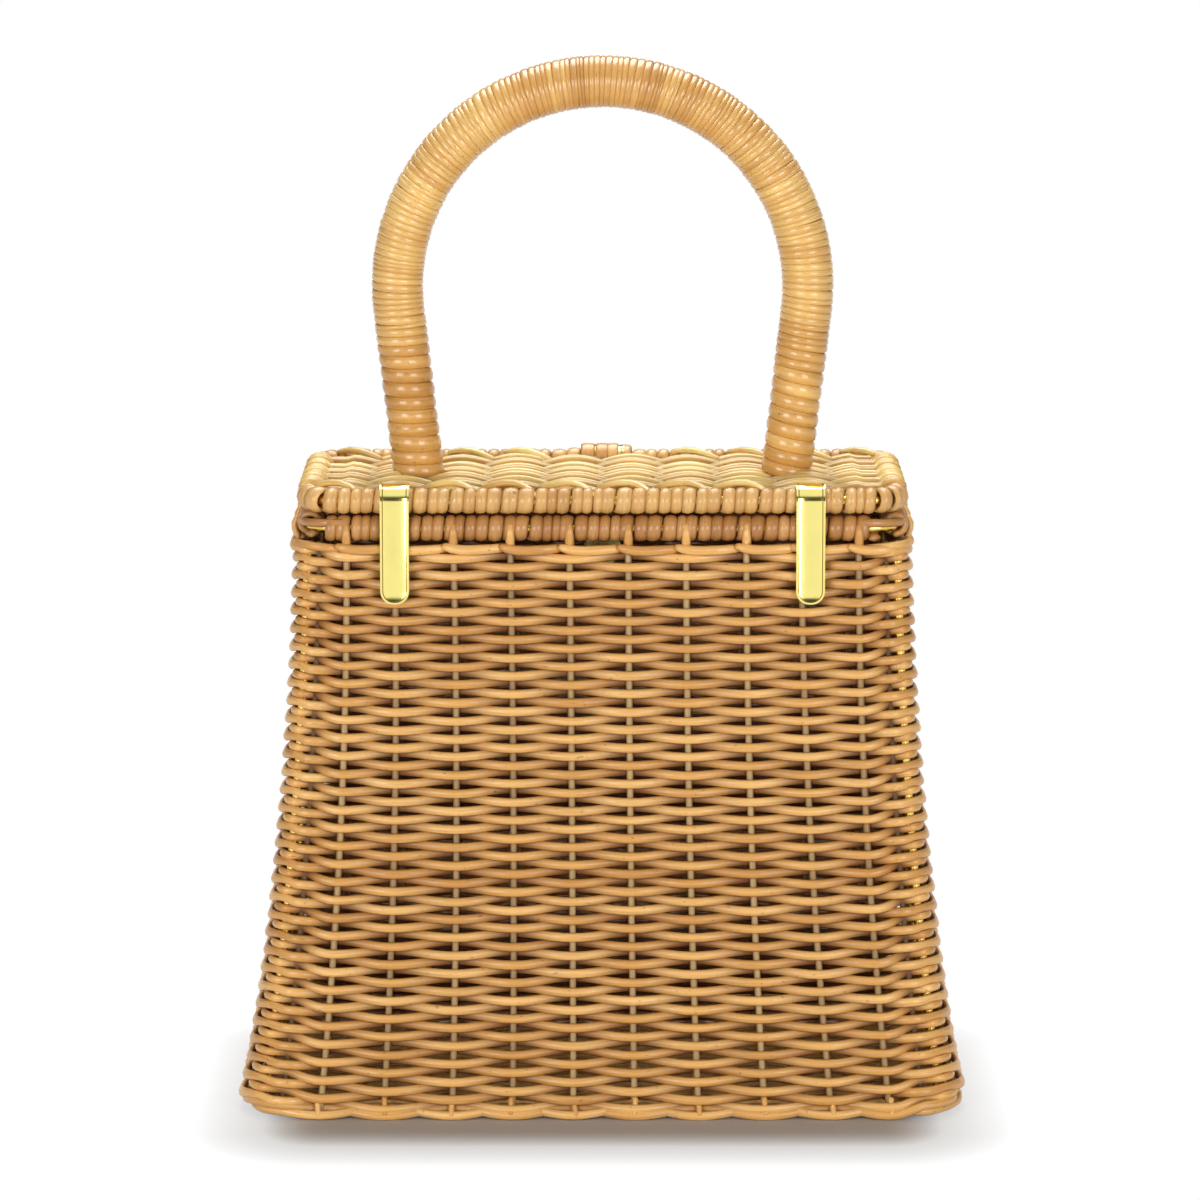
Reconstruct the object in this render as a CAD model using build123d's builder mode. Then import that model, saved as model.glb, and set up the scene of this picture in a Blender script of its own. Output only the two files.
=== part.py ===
"""Woven rattan box handbag with a hinged lid, a cane-bound arch handle and brass fittings.

Millimetres, +Z up, origin on the floor under the middle of the bag.
The hinge side faces -Y and the clasp side faces +Y.
"""

import os
from math import cos, radians, sin, tan

from build123d import *

os.makedirs("parts", exist_ok=True)

# Woven body
base_width = 231.0
base_depth = 110.0
base_corner_radius = 20.0
neck_width = 195.0
neck_depth = 86.8
neck_corner_radius = 12.0
wall_height = 183.0
wall_thickness = 6.0
row_count = 64
weave_depth = 3.0
wide_stake_shares = (-0.8, -0.635, -0.445, -0.27, -0.093, 0.085, 0.265, 0.453, 0.632, 0.805)
side_stake_shares = (-0.6, -0.2, 0.2, 0.6)
flare_straight_share = 0.3
corner_facets = 2
hollow_step_rows = 4
floor_rows = 2
floor_margin = 14.0
floor_slot_count = 13
floor_slot_width = 1.2

# Gaps between the canes
gap_width = 6.5
gap_first_row = 5
gap_rows_apart = 7
gap_levels = 8

# Wrapped rims and their wire
rim_width = 192.0
rim_depth = 86.0
rim_radius = 4.2
rim_corner_radius = 9.0
rim_groove = 0.6
wrap_pitch = 7.8
wrap_facets = 8
wire_radius = 1.5

# Lid panel
lid_thickness = 6.0
lid_row_count = 24
lid_weave_depth = 2.6
lid_stake_count = 10
lid_stake_pitch = 18.2

# Arch handle
handle_arch_radius = 65.0
handle_arch_rise = 58.0
handle_lean = 6.6
handle_rod_radius = 8.3
handle_core_radius = 6.2
handle_groove = 0.7
handle_wrap_count = 46
handle_wrap_facets = 10

# Handle fixings
screw_radius = 1.6
screw_length = 14.0
screw_head_radius = 3.4
screw_head_height = 2.0
washer_radius = 8.0
washer_thickness = 1.0

# Hinge straps and clasp tab
strap_width = 9.0
strap_thickness = 0.9
strap_leg = 32.0
hook_wrap = 215.0
hinge_offset = 64.8
hinge_lean = 2.5
tab_width = 14.0
tab_leg = 34.0
tab_lean = 7.0
tip_share = 0.48

# Hinge rivets and backplates
rivet_radius = 1.0
rivet_head_radius = 2.0
rivet_head_height = 0.8
rivet_rows = (62, 59)
rivet_drop = 0.16
plate_width = 8.0
plate_thickness = 1.0
plate_margin = 3.4
plate_corner_share = 0.25

# Snap
snap_radius = 5.0
snap_cap_height = 0.9
snap_base_height = 1.0
snap_shank_radius = 2.0
snap_rows = (58, 59)
snap_drop = 0.6
snap_plate_radius = 6.0

# Slots for the corner posts
post_slot_turn = 45.0

# Clearances
turning_gap = 0.35
post_slot_gap = 0.6
lid_gap = 0.3
seat_gap = 0.1
soft_gap = 0.3
overrun = 1.0

# Derived sizes
row_pitch = wall_height / row_count
floor_slot_pitch = (base_depth - 2 * floor_margin) / floor_slot_count
gap_rows = [gap_first_row + gap_rows_apart * level for level in range(gap_levels)]
rim_half_width = rim_width / 2 - rim_radius
rim_half_depth = rim_depth / 2 - rim_radius
body_rim_z = wall_height + seat_gap + rim_radius
lid_rim_z = body_rim_z + 2 * rim_radius + lid_gap
lid_top = lid_rim_z + rim_radius
lid_bottom = lid_top - lid_thickness
lid_width = rim_width - 4 * rim_radius - 2 * soft_gap
lid_depth = rim_depth - 4 * rim_radius - 2 * soft_gap
lid_corner_radius = rim_corner_radius - rim_radius - soft_gap
hook_radius = rim_radius + turning_gap
handle_arch_z = lid_top + handle_arch_rise
handle_side_x = handle_arch_radius * cos(radians(handle_lean))
handle_side_z = handle_arch_z - handle_arch_radius * sin(radians(handle_lean))
handle_foot_z = lid_bottom - 2 * handle_core_radius * sin(radians(handle_lean))
screw_seat_z = lid_bottom - seat_gap - washer_thickness
hook_reach = hook_radius + strap_thickness
notch_gap = soft_gap + seat_gap
post_slot_width = 2 * (wire_radius + post_slot_gap)
post_slot_depth = 2 * (wire_radius + post_slot_gap)
hole_reach = 2 * (wall_thickness + overrun)
lid_row_pitch = lid_depth / lid_row_count
notch_depth = 2 * (hook_reach + notch_gap)


def flare(z):
    """How far the wall has spread at height z, 0 at the neck and 1 at the base."""
    drop = 1 - z / wall_height
    return flare_straight_share * drop + (1 - flare_straight_share) * drop**2


def wall_plan(z, inset):
    """Width, depth and corner radius of the wall at height z, drawn in by inset."""
    spread = flare(z)
    width = neck_width + (base_width - neck_width) * spread
    depth = neck_depth + (base_depth - neck_depth) * spread
    corner = neck_corner_radius + (base_corner_radius - neck_corner_radius) * spread
    return width - 2 * inset, depth - 2 * inset, corner - inset


def corner_points(wall, z, inset):
    """Corner at the end of a wall in the plan at height z, drawn as facets like bent canes."""
    width, depth, corner = wall_plan(z, inset)
    side_x, side_y = ((1, -1), (1, 1), (-1, 1), (-1, -1))[wall]
    points = []
    for facet in range(corner_facets + 1):
        angle = radians(90 * (wall - 1 + facet / corner_facets))
        x = side_x * (width / 2 - corner) + corner * cos(angle)
        y = side_y * (depth / 2 - corner) + corner * sin(angle)
        points.append((x, y))
    return points


def stakes_of(wall):
    """Places of the stakes along a wall, in walking order, as shares of its half length."""
    shares = side_stake_shares if wall % 2 else wide_stake_shares
    return shares if wall < 2 else [-share for share in shares]


def is_over(wall, stake, row):
    """Whether a row passes outside a stake. Walls go round from the hinge side."""
    wide, side = len(wide_stake_shares), len(side_stake_shares)
    return ((0, wide, wide + side, 2 * wide + side)[wall] + stake + row) % 2 == 0


def stake_point(wall, stake, row, inset):
    """Point on a stake in the plan of a row, drawn in from the crest of the wall."""
    width, depth, corner = wall_plan((row + 1 / 2) * row_pitch, 0)
    along = stakes_of(wall)[stake]
    out = (-1, 1, 1, -1)[wall]
    if wall % 2:
        return (out * (width / 2 - inset), along * depth / 2)
    return (along * width / 2, out * (depth / 2 - inset))


def woven_plan(row):
    """Outline of one row of cane, out over every other stake and in behind those between."""
    points = []
    for wall in range(4):
        for stake in range(len(stakes_of(wall))):
            points.append(stake_point(wall, stake, row, 0 if is_over(wall, stake, row) else weave_depth))
        points += corner_points(wall, (row + 1 / 2) * row_pitch, 0)
    return points


def hollow_plan(row):
    """Outline of the inside at a row, the same for a few rows together."""
    top_row = min((row // hollow_step_rows + 1) * hollow_step_rows, row_count)
    points = []
    for wall in range(4):
        points += corner_points(wall, top_row * row_pitch, wall_thickness)
    return points


def ridged_sections(axis, start_share, turns, up, radius, groove, facets):
    """Cross sections of a bound rod along an axis, wide on each pair of turns and narrow between pairs."""
    sections = []
    for step in range(2 * turns + 1):
        share = start_share + (1 - 2 * start_share) * step / (2 * turns)
        with BuildSketch(Plane(origin=axis @ share, x_dir=up, z_dir=axis % share)) as section:
            RegularPolygon(radius - (0 if step % 2 else groove), facets)
        sections.append(section.sketch)
    return sections


def handle_x(z):
    """Distance of a handle leg's axis from the middle at height z."""
    return handle_side_x - (handle_side_z - z) * tan(radians(handle_lean))


def post_point(z, side_x, side_y):
    """Point on a corner post's axis, in the middle of the wall's corner."""
    width, depth, corner = wall_plan(z, wall_thickness / 2)
    reach = corner * (1 - cos(radians(45)))
    return (side_x * (width / 2 - reach), side_y * (depth / 2 - reach), z)


def strap_plane(side_y, x, lean, down):
    """Plane on a strap leg's inner face, down the leg, its normal pointing into the bag."""
    tilt = radians(lean)
    outward = Vector(0, side_y * cos(tilt), sin(tilt))
    along = Vector(0, side_y * sin(tilt), -cos(tilt))
    centre = Vector(x, side_y * rim_half_depth, lid_rim_z)
    return Plane(origin=centre + outward * hook_radius + along * down, x_dir=(1, 0, 0), z_dir=-outward)


def wall_reach(lean, down):
    """Distance from a strap leg's inner face to the wall's inner face, with room for a soft seat."""
    face = strap_plane(1, 0, lean, down).origin
    depth = wall_plan(face.Z, wall_thickness)[1]
    return face.Y - depth / 2 + soft_gap


def leg_down(lean, z):
    """How far down a strap's leg its inner face is at height z."""
    return (lid_rim_z + hook_radius * sin(radians(lean)) - z) / cos(radians(lean))


rivet_downs = [leg_down(hinge_lean, (row + 1 / 2) * row_pitch + rivet_drop) for row in rivet_rows]
plate_down = sum(rivet_downs) / len(rivet_downs)
plate_length = rivet_downs[-1] - rivet_downs[0] + 2 * plate_margin
plate_reach = wall_reach(hinge_lean, plate_down)
snap_down = leg_down(tab_lean, snap_rows[1] * row_pitch + snap_drop)
snap_reach = wall_reach(tab_lean, snap_down) + snap_plate_radius * sin(radians(tab_lean))
screw_spots = [(-handle_x(lid_bottom), 0), (handle_x(lid_bottom), 0)]
rivet_spots = [(side, down) for side in (-1, 1) for down in rivet_downs]
long_run = 2 * (rim_half_width - rim_corner_radius)
short_run = 2 * (rim_half_depth - rim_corner_radius)
rim_runs = []
for side in (-1, 1):
    wall_y = side * rim_half_depth
    wall_x = side * rim_half_width
    rim_runs.append((Vector(-long_run / 2, wall_y, body_rim_z), Vector(long_run / 2, wall_y, body_rim_z)))
    rim_runs.append((Vector(wall_x, -short_run / 2, body_rim_z), Vector(wall_x, short_run / 2, body_rim_z)))
corner_signs = [(sx, sy) for sx in (-1, 1) for sy in (-1, 1)]


def post_line(side_x, side_y, foot, head):
    """Curved axis of a corner post, from its foot to its head."""
    heights = (foot, (foot + head) / 2, head)
    return ThreePointArc(*[post_point(z, side_x, side_y) for z in heights])


# Paths that the wires and the handle follow
with BuildLine() as rim_loop:
    FilletPolyline(
        (-rim_half_width, -rim_half_depth),
        (rim_half_width, -rim_half_depth),
        (rim_half_width, rim_half_depth),
        (-rim_half_width, rim_half_depth),
        radius=rim_corner_radius,
        close=True,
    )

with BuildLine(Plane.XY.offset(lid_rim_z)) as half_rim:
    FilletPolyline(
        (0, -rim_half_depth),
        (rim_half_width, -rim_half_depth),
        (rim_half_width, rim_half_depth),
        (0, rim_half_depth),
        radius=rim_corner_radius,
    )

with BuildLine(Plane.XZ) as handle_line:
    Line((-handle_x(handle_foot_z), handle_foot_z), (-handle_side_x, handle_side_z))
    ThreePointArc(
        (-handle_side_x, handle_side_z),
        (0, handle_arch_z + handle_arch_radius),
        (handle_side_x, handle_side_z),
    )
    Line((handle_side_x, handle_side_z), (handle_x(handle_foot_z), handle_foot_z))

handle_axis = handle_line.wires()[0]
half_rim_axis = half_rim.wires()[0]
wrap_foot_z = lid_top + handle_rod_radius * sin(radians(handle_lean)) + seat_gap
wrap_start_share = (wrap_foot_z - handle_foot_z) / cos(radians(handle_lean)) / handle_axis.length

# Woven box: rows of cane laid one on another, with gaps, slots for the posts and holes for the fittings
with BuildPart() as body_weave:
    for row in range(row_count):
        with BuildSketch(Plane.XY.offset(row * row_pitch)):
            Polygon(*woven_plan(row), align=None)
            if row >= floor_rows:
                Polygon(*hollow_plan(row), align=None, mode=Mode.SUBTRACT)
            if row == 0:
                with GridLocations(base_width, floor_slot_pitch, 1, floor_slot_count):
                    Rectangle(base_width - 2 * floor_margin, floor_slot_width, mode=Mode.SUBTRACT)
            else:
                for side_x, side_y in corner_signs:
                    x, y, z = post_point((row + 1 / 2) * row_pitch, side_x, side_y)
                    with Locations(Location((x, y), side_x * side_y * post_slot_turn)):
                        Rectangle(post_slot_depth, post_slot_width, mode=Mode.SUBTRACT)
            for wall in range(4):
                size = (2 * wall_thickness, gap_width) if wall % 2 else (gap_width, 2 * wall_thickness)
                for stake in range(len(stakes_of(wall))):
                    if row in gap_rows and not is_over(wall, stake, row):
                        with Locations(stake_point(wall, stake, row, wall_thickness / 2)):
                            Rectangle(*size, mode=Mode.SUBTRACT)
            if row in rivet_rows:
                with GridLocations(2 * hinge_offset, 0, 2, 1):
                    with Locations((0, -neck_depth / 2)):
                        Rectangle(2 * (rivet_radius + soft_gap), hole_reach, mode=Mode.SUBTRACT)
            if row in snap_rows:
                with Locations((0, neck_depth / 2)):
                    Rectangle(2 * (snap_shank_radius + soft_gap), hole_reach, mode=Mode.SUBTRACT)
    extrude(amount=row_pitch)

# Brass wire round the mouth
with BuildPart() as mouth_wire:
    mouth = rim_loop.wires()[0].moved(Location((0, 0, body_rim_z)))
    with BuildSketch(Plane(origin=mouth @ 0, z_dir=mouth % 0)):
        Circle(wire_radius)
    sweep(path=mouth)

# Brass wire posts in the corners of the wall
with BuildPart() as corner_posts:
    for side_x, side_y in corner_signs:
        with BuildLine() as post:
            post_line(side_x, side_y, row_pitch + post_slot_gap, wall_height)
        with BuildSketch(Plane(origin=post.line @ 0, z_dir=post.line % 0)):
            Circle(wire_radius)
        sweep(path=post.line)

# Cane binding on the straight runs of the mouth wire
with BuildPart() as body_rim_wrap:
    for start, end in rim_runs:
        run = Edge.make_line(start, end)
        turns = round(run.length / wrap_pitch)
        loft(ridged_sections(run, 0, turns, (0, 0, 1), rim_radius, rim_groove, wrap_facets), ruled=True)
        with BuildSketch(Plane(origin=start, z_dir=end - start)):
            Circle(wire_radius + seat_gap)
        extrude(amount=run.length, clean=False, mode=Mode.SUBTRACT)

# Woven lid panel: canes along X over and under the stakes, notches for the hooks and holes for the handle
with BuildPart() as lid_weave:
    for row in range(lid_row_count):
        tops = [(-lid_width / 2, lid_top - lid_weave_depth / 2)]
        bottoms = [(-lid_width / 2, lid_bottom + lid_weave_depth / 2)]
        for stake in range(lid_stake_count):
            x = (stake - (lid_stake_count - 1) / 2) * lid_stake_pitch
            under = (stake + row) % 2
            tops.append((x, lid_top - under * lid_weave_depth))
            bottoms.append((x, lid_bottom + (1 - under) * lid_weave_depth))
        tops.append((lid_width / 2, tops[0][1]))
        bottoms.append((lid_width / 2, bottoms[0][1]))
        with BuildSketch(Plane.XZ.offset(lid_depth / 2 - (row + 1) * lid_row_pitch)):
            Polygon(*tops, *reversed(bottoms), align=None)
    extrude(amount=lid_row_pitch)
    with BuildSketch(Plane.XY.offset(lid_bottom)):
        RectangleRounded(lid_width, lid_depth, lid_corner_radius)
        with Locations((-hinge_offset, -rim_half_depth), (hinge_offset, -rim_half_depth)):
            Rectangle(strap_width + 2 * notch_gap, notch_depth, mode=Mode.SUBTRACT)
        with Locations((0, rim_half_depth)):
            Rectangle(tab_width + 2 * notch_gap, notch_depth, mode=Mode.SUBTRACT)
    extrude(amount=lid_thickness, mode=Mode.INTERSECT)
    for end in (0, 1):
        with BuildSketch(Plane(origin=handle_axis @ end, z_dir=handle_axis % end)):
            Circle(handle_core_radius + seat_gap)
    extrude(amount=lid_thickness * 2, both=True, mode=Mode.SUBTRACT)

# Brass wire inside the lid's rim
with BuildPart() as lid_frame_wire:
    loop = rim_loop.wires()[0].moved(Location((0, 0, lid_rim_z)))
    with BuildSketch(Plane(origin=loop @ 0, z_dir=loop % 0)):
        Circle(wire_radius)
    sweep(path=loop)

# Cane binding all round the lid's wire
with BuildPart() as lid_rim_wrap:
    turns = round(half_rim_axis.length / wrap_pitch)
    loft(ridged_sections(half_rim_axis, 0, turns, (0, 0, 1), rim_radius, rim_groove, wrap_facets), ruled=True)
    with BuildSketch(Plane(origin=half_rim_axis @ 0, z_dir=half_rim_axis % 0)):
        Circle(wire_radius + seat_gap)
    sweep(path=half_rim_axis, clean=False, mode=Mode.SUBTRACT)
    mirror(about=Plane.YZ)

# Bent cane rod of the handle, cut level under the lid and bored for its screws
with BuildPart() as handle_core:
    with BuildSketch(Plane(origin=handle_axis @ 0, z_dir=handle_axis % 0)):
        Circle(handle_core_radius)
    sweep(path=handle_axis)
    split(bisect_by=Plane.XY.offset(lid_bottom), keep=Keep.TOP)
    with BuildSketch(Plane.XY.offset(lid_bottom)):
        with Locations(*screw_spots):
            Circle(screw_radius + seat_gap)
    extrude(amount=screw_length, mode=Mode.SUBTRACT)

# Cane strip coiled round the rod, shown as a ring for each pair of turns
with BuildPart() as handle_wrap:
    coil = (handle_axis, wrap_start_share, handle_wrap_count, (0, 1, 0))
    loft(ridged_sections(*coil, handle_rod_radius, handle_groove, handle_wrap_facets), ruled=True)
    with BuildSketch(Plane(origin=handle_axis @ 0, z_dir=handle_axis % 0)):
        Circle(handle_core_radius + seat_gap)
    sweep(path=handle_axis, clean=False, mode=Mode.SUBTRACT)

# Washers and screws that hold the handle from under the lid
with BuildPart() as handle_washers:
    with BuildSketch(Plane.XY.offset(lid_bottom - seat_gap)):
        with Locations(*screw_spots):
            Circle(washer_radius)
            Circle(screw_radius + seat_gap, mode=Mode.SUBTRACT)
    extrude(amount=-washer_thickness)

with BuildPart() as handle_screws:
    with BuildSketch(Plane.XY.offset(screw_seat_z)):
        with Locations(*screw_spots):
            Circle(screw_head_radius)
    extrude(amount=-screw_head_height)
    fillet(handle_screws.edges().group_by(Axis.Z)[0], radius=screw_head_height / 2)
    with BuildSketch(Plane.XY.offset(screw_seat_z)):
        with Locations(*screw_spots):
            Circle(screw_radius)
    extrude(amount=screw_length - seat_gap)


def strap_profile(side_y, x, lean, leg):
    """Edge view of a strap in the middle of its width: a hook round the lid's rim and a straight leg."""
    tilt = radians(lean)
    start = lean if side_y > 0 else 180 - lean
    along = Vector(side_y * sin(tilt), -cos(tilt))
    centre = (side_y * rim_half_depth, lid_rim_z)
    with BuildSketch(Plane.YZ.offset(x)) as profile:
        with BuildLine():
            inner = CenterArc(centre, hook_radius, start, side_y * (hook_wrap - lean))
            outer = CenterArc(centre, hook_reach, start, side_y * (hook_wrap - lean))
            Line(inner @ 1, outer @ 1)
            Polyline(inner @ 0, inner @ 0 + along * leg, outer @ 0 + along * leg, outer @ 0)
        make_face()
    return profile.sketch


def round_strap(strap, width):
    """Round the tip of a strap."""
    tip = strap.faces().sort_by(Axis.Z)[0]
    fillet(tip.edges().filter_by(Axis.X, reverse=True), radius=width * tip_share)


# Hinge straps, their rivets and the plates inside the wall
with BuildPart() as hinge_strap_left:
    extrude(strap_profile(-1, -hinge_offset, hinge_lean, strap_leg), amount=strap_width / 2, both=True)
    round_strap(hinge_strap_left, strap_width)

with BuildPart() as hinge_strap_right:
    extrude(strap_profile(-1, hinge_offset, hinge_lean, strap_leg), amount=strap_width / 2, both=True)
    round_strap(hinge_strap_right, strap_width)

with BuildPart() as hinge_rivets:
    for side, down in rivet_spots:
        with BuildSketch(strap_plane(-1, side * hinge_offset, hinge_lean, down)):
            Circle(rivet_radius)
    extrude(amount=plate_reach + plate_thickness)
    for side, down in rivet_spots:
        face = strap_plane(-1, side * hinge_offset, hinge_lean, down)
        with BuildSketch(face.offset(plate_reach + plate_thickness)):
            Circle(rivet_head_radius)
    extrude(amount=rivet_head_height)


def plate_profile(x):
    """Face of a hinge backplate, with a hole for each rivet."""
    with BuildSketch(strap_plane(-1, x, hinge_lean, plate_down).offset(plate_reach)) as profile:
        RectangleRounded(plate_width, plate_length, plate_width * plate_corner_share)
        with Locations(*[(0, down - plate_down) for down in rivet_downs]):
            Circle(rivet_radius + seat_gap, mode=Mode.SUBTRACT)
    return profile.sketch


with BuildPart() as hinge_backplate_left:
    extrude(plate_profile(-hinge_offset), amount=plate_thickness)

with BuildPart() as hinge_backplate_right:
    extrude(plate_profile(hinge_offset), amount=plate_thickness)

# Clasp tab and the two halves of its snap
snap_face = strap_plane(1, 0, tab_lean, snap_down)
snap_parting = snap_cap_height + lid_gap
snap_root = snap_parting + snap_base_height

with BuildPart() as clasp_tab:
    extrude(strap_profile(1, 0, tab_lean, tab_leg), amount=tab_width / 2, both=True)
    round_strap(clasp_tab, tab_width)

with BuildPart() as clasp_snap_cap:
    with BuildSketch(snap_face):
        Circle(snap_radius)
    extrude(amount=snap_cap_height)

with BuildPart() as clasp_snap_base:
    with BuildSketch(snap_face.offset(snap_parting)):
        Circle(snap_radius)
    extrude(amount=snap_base_height)
    with BuildSketch(snap_face.offset(snap_root)):
        Circle(snap_shank_radius)
    extrude(amount=snap_reach + plate_thickness - snap_root)

with BuildPart() as clasp_backplate:
    with BuildSketch(snap_face.offset(snap_reach)):
        Circle(snap_plate_radius)
        Circle(snap_shank_radius + seat_gap, mode=Mode.SUBTRACT)
    extrude(amount=plate_thickness)

# One file for each piece
body_weave.part.label = "body_weave"
mouth_wire.part.label = "mouth_wire"
corner_posts.part.label = "corner_posts"
body_rim_wrap.part.label = "body_rim_wrap"
lid_weave.part.label = "lid_weave"
lid_frame_wire.part.label = "lid_frame_wire"
lid_rim_wrap.part.label = "lid_rim_wrap"
handle_core.part.label = "handle_core"
handle_wrap.part.label = "handle_wrap"
handle_washers.part.label = "handle_washers"
handle_screws.part.label = "handle_screws"
hinge_strap_left.part.label = "hinge_strap_left"
hinge_strap_right.part.label = "hinge_strap_right"
hinge_rivets.part.label = "hinge_rivets"
hinge_backplate_left.part.label = "hinge_backplate_left"
hinge_backplate_right.part.label = "hinge_backplate_right"
clasp_tab.part.label = "clasp_tab"
clasp_snap_cap.part.label = "clasp_snap_cap"
clasp_snap_base.part.label = "clasp_snap_base"
clasp_backplate.part.label = "clasp_backplate"
export_step(body_weave.part, "parts/body_weave.step")
export_step(mouth_wire.part, "parts/mouth_wire.step")
export_step(corner_posts.part, "parts/corner_posts.step")
export_step(body_rim_wrap.part, "parts/body_rim_wrap.step")
export_step(lid_weave.part, "parts/lid_weave.step")
export_step(lid_frame_wire.part, "parts/lid_frame_wire.step")
export_step(lid_rim_wrap.part, "parts/lid_rim_wrap.step")
export_step(handle_core.part, "parts/handle_core.step")
export_step(handle_wrap.part, "parts/handle_wrap.step")
export_step(handle_washers.part, "parts/handle_washers.step")
export_step(handle_screws.part, "parts/handle_screws.step")
export_step(hinge_strap_left.part, "parts/hinge_strap_left.step")
export_step(hinge_strap_right.part, "parts/hinge_strap_right.step")
export_step(hinge_rivets.part, "parts/hinge_rivets.step")
export_step(hinge_backplate_left.part, "parts/hinge_backplate_left.step")
export_step(hinge_backplate_right.part, "parts/hinge_backplate_right.step")
export_step(clasp_tab.part, "parts/clasp_tab.step")
export_step(clasp_snap_cap.part, "parts/clasp_snap_cap.step")
export_step(clasp_snap_base.part, "parts/clasp_snap_base.step")
export_step(clasp_backplate.part, "parts/clasp_backplate.step")
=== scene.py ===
from math import cos, pi, radians, sin

import bpy
import numpy as np
from mathutils import Matrix, Vector


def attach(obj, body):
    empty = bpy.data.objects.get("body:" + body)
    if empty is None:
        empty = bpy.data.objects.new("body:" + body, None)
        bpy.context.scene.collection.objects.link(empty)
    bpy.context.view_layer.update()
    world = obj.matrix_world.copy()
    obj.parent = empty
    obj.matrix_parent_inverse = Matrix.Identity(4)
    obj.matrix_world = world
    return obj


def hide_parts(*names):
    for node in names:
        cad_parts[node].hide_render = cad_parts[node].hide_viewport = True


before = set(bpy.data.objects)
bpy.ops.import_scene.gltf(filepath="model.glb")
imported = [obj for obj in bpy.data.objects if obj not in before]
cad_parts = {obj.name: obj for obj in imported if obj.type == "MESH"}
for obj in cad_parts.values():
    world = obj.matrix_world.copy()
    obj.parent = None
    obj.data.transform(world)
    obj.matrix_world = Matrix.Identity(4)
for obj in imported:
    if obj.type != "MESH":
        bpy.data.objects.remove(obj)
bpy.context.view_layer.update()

chance = np.random.default_rng(7)
MM = 0.001

# Sizes shared with the solids, in millimetres
BASE_WIDTH, BASE_DEPTH, BASE_CORNER = 231.0, 110.0, 20.0
NECK_WIDTH, NECK_DEPTH, NECK_CORNER = 195.0, 86.8, 12.0
WALL_HEIGHT = 183.0
RIM_X, RIM_Y, RIM_CORNER, RIM_RADIUS = 91.8, 38.8, 9.0, 4.2
BODY_RIM_Z, LID_RIM_Z = 187.3, 196.0
LID_TOP = 200.2
LID_X, LID_Y = 87.3, 34.3
HOOK_RADIUS, STRAP_THICKNESS = 4.55, 0.9
HINGE_X = 64.8
ARCH_RADIUS, ARCH_Z, HANDLE_LEAN = 65.0, 258.2, radians(6.6)
HANDLE_RADIUS = 8.3
RIM_PITCH, RIM_CANE = 3.9, 1.15
LID_ROWS, LID_POST_PITCH, LID_CANE = 24, 18.2, 1.2
FLOOR_ROWS, FLOOR_Z = 32, 3.0
TAB_SPAN = 8.6

# Weave
ROWS = 64
ROW_PITCH = WALL_HEIGHT / ROWS
CANE_THICK, CANE_HIGH = 1.2, 1.47
WEAVE_SWING = 1.9
STAKE_RADIUS = 0.98
TOP_SHARES = np.array([-0.82, -0.667, -0.478, -0.296, -0.106, 0.082, 0.267, 0.46, 0.636, 0.82])
LOW_SHARES = np.array([-0.775, -0.6, -0.412, -0.246, -0.08, 0.088, 0.263, 0.445, 0.628, 0.788])
SIDE_SHARES = np.array([-0.6, -0.2, 0.2, 0.6])
STATIONS = 36
CORNER_STATIONS = (0, 13, 18, 31)
CORNER_RODS = (1, 12, 19, 30)
STAKE_ORDER = np.array(
    [0, -1, *range(10), 10, 0, *range(10, 14), 0, 13, *range(14, 24), 24, 0, *range(24, 28)]
)


def spread(z):
    """How far the wall has spread at height z, 0 at the neck and 1 at the base."""
    drop = 1 - z / WALL_HEIGHT
    return 0.3 * drop + 0.7 * drop**2


def wall_plan(z):
    """Half width, half depth and corner radius of the wall's crest at height z."""
    share = spread(z)
    width = NECK_WIDTH + (BASE_WIDTH - NECK_WIDTH) * share
    depth = NECK_DEPTH + (BASE_DEPTH - NECK_DEPTH) * share
    return width / 2, depth / 2, NECK_CORNER + (BASE_CORNER - NECK_CORNER) * share


def outline(half_x, half_y, corner, steps=12):
    """Points round a rounded oblong from its left front corner, with their outward directions."""
    points, normals = [], []
    for turn, (sx, sy) in ((1.25, (-1, -1)), (1.5, (1, -1)), (2.0, (1, 1)), (2.5, (-1, 1)), (3.0, (-1, -1))):
        last = turn == 3.0
        share = 0.25 if turn == 1.25 or last else 0.5
        for step in range(steps + 1):
            angle = pi * (turn + share * step / steps)
            normals.append((cos(angle), sin(angle)))
            hub = (sx * (half_x - corner), sy * (half_y - corner))
            points.append((hub[0] + corner * cos(angle), hub[1] + corner * sin(angle)))
    points, normals = np.array(points), np.array(normals)
    length = np.concatenate([[0], np.cumsum(np.hypot(*np.diff(points, axis=0).T))])
    return points, normals, length


def along(line, reach):
    """Place and outward direction at a distance along an outline."""
    points, normals, length = line
    reach = np.mod(reach, length[-1])
    place = np.stack([np.interp(reach, length, points[:, axis]) for axis in (0, 1)], 1)
    out = np.stack([np.interp(reach, length, normals[:, axis]) for axis in (0, 1)], 1)
    return place, out / np.linalg.norm(out, axis=1, keepdims=True)


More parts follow.
